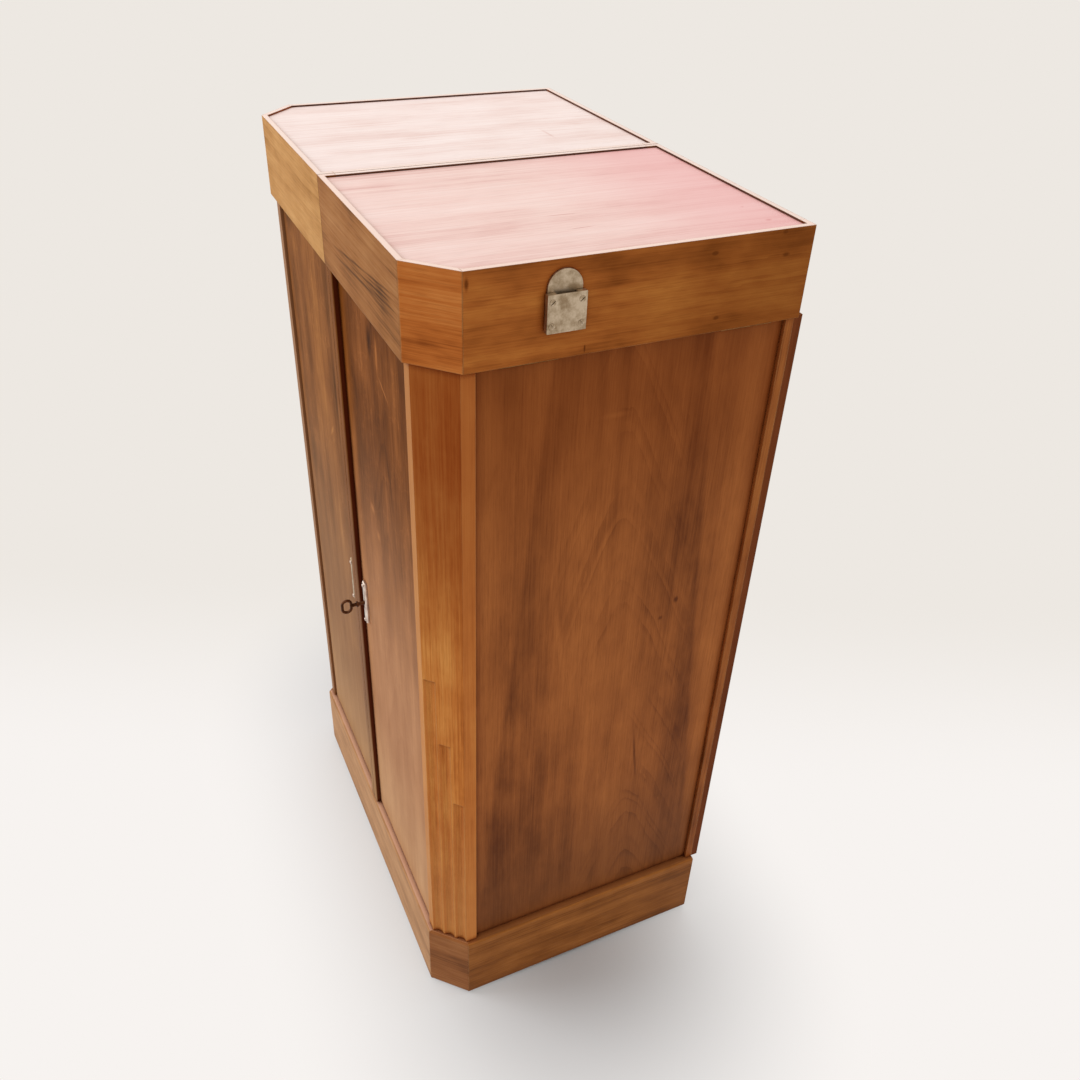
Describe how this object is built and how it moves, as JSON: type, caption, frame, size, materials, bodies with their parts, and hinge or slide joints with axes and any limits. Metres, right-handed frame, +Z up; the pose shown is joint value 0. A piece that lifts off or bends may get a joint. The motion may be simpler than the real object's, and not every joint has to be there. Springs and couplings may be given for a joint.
{
  "type": "cellarette",
  "caption": "Chamfered walnut drinks cabinet with fold-out half lids, pivoted locking doors, fluted corner posts, a shelf, a bottle rack and a slotted metal pocket on one side.",
  "frame": {"origin": "on the floor under the middle of the plinth", "axes": "+Z up, the doors face -Y, +X to the right of someone who looks at the doors"},
  "size_m": [0.6205, 0.4489, 1.1],
  "materials": {
    "walnut_veneer": "worn satin lacquer",
    "lid_top_veneer": "faded satin lacquer",
    "inner_walnut": "matt oil",
    "aged_brass": "dull",
    "worn_nickel": "worn nickel plate",
    "dark_iron": "rubbed, dark"
  },
  "bodies": {
    "carcass": {"plinth_front": "walnut_veneer", "plinth_corner_left": "walnut_veneer", "plinth_corner_right": "walnut_veneer", "plinth_side_left": "walnut_veneer", "plinth_side_right": "walnut_veneer", "plinth_back": "inner_walnut", "plinth_bearer": "inner_walnut", "corner_post_left": "walnut_veneer", "corner_post_right": "walnut_veneer", "side_panel_left": "walnut_veneer", "side_panel_right": "walnut_veneer", "rear_stile_left": "walnut_veneer", "rear_stile_right": "walnut_veneer", "back_panel": "inner_walnut", "bottom_board": "inner_walnut", "deck_board": "inner_walnut", "top_rail": "inner_walnut", "shelf": "inner_walnut", "shelf_pegs": "aged_brass", "bottle_dividers_long": "inner_walnut", "bottle_dividers_cross": "inner_walnut", "lid_hinge_fixed_left": "aged_brass", "lid_hinge_fixed_right": "aged_brass", "pivot_sockets_left": "aged_brass", "pivot_sockets_right": "aged_brass"},
    "right_door": {"door_right": "walnut_veneer", "meeting_bead_right": "walnut_veneer", "key_plate_right": "worn_nickel", "pivot_pins_right": "aged_brass", "lock_case": "aged_brass"},
    "left_door": {"door_left": "walnut_veneer", "meeting_bead_left": "walnut_veneer", "key_plate_left": "worn_nickel", "pivot_pins_left": "aged_brass", "lock_keeper": "aged_brass", "flush_bolt_case": "aged_brass"},
    "right_lid": {"lid_front_right": "walnut_veneer", "lid_corner_right": "walnut_veneer", "lid_side_right": "walnut_veneer", "lid_back_right": "walnut_veneer", "lid_seam_right": "walnut_veneer", "lid_top_right": "lid_top_veneer", "lid_hinge_leaves_right": "aged_brass", "socket_plate": "worn_nickel", "socket_box": "worn_nickel"},
    "left_lid": {"lid_front_left": "walnut_veneer", "lid_corner_left": "walnut_veneer", "lid_side_left": "walnut_veneer", "lid_back_left": "walnut_veneer", "lid_seam_left": "walnut_veneer", "lid_top_left": "lid_top_veneer", "lid_hinge_leaves_left": "aged_brass"},
    "key": {"key": "dark_iron"},
    "lock_bolt": {"lock_bolt": "aged_brass"},
    "flush_bolt": {"flush_bolt": "aged_brass"}
  },
  "joints": [
    {"name": "right_door_pivot", "type": "hinge", "parent": "carcass", "child": "right_door", "pos_m": [0.241, -0.1905, 0.5584], "axis": [0, 0, 1], "range_deg": [0, 95]},
    {"name": "left_door_pivot", "type": "hinge", "parent": "carcass", "child": "left_door", "pos_m": [-0.241, -0.1905, 0.5584], "axis": [0, 0, -1], "range_deg": [0, 95]},
    {"name": "right_lid_hinge", "type": "hinge", "parent": "carcass", "child": "right_lid", "pos_m": [0.301, 0, 1.0038], "axis": [0, 1, 0], "range_deg": [0, 105]},
    {"name": "left_lid_hinge", "type": "hinge", "parent": "carcass", "child": "left_lid", "pos_m": [-0.301, 0, 1.0038], "axis": [0, -1, 0], "range_deg": [0, 105]},
    {"name": "key_turn", "type": "hinge", "parent": "right_door", "child": "key", "pos_m": [0.028, -0.2, 0.5435], "axis": [0, -1, 0], "range_deg": [0, 360]},
    {"name": "lock_bolt_throw", "type": "slide", "parent": "right_door", "child": "lock_bolt", "axis": [-1, 0, 0], "range_m": [0, 0.01]},
    {"name": "flush_bolt_throw", "type": "slide", "parent": "left_door", "child": "flush_bolt", "axis": [0, 0, 1], "range_m": [0, 0.007]}
  ],
  "couplings": [
    {"joint": "lock_bolt_throw", "follows": "key_turn", "m_per_rad": 0.0015915}
  ]
}
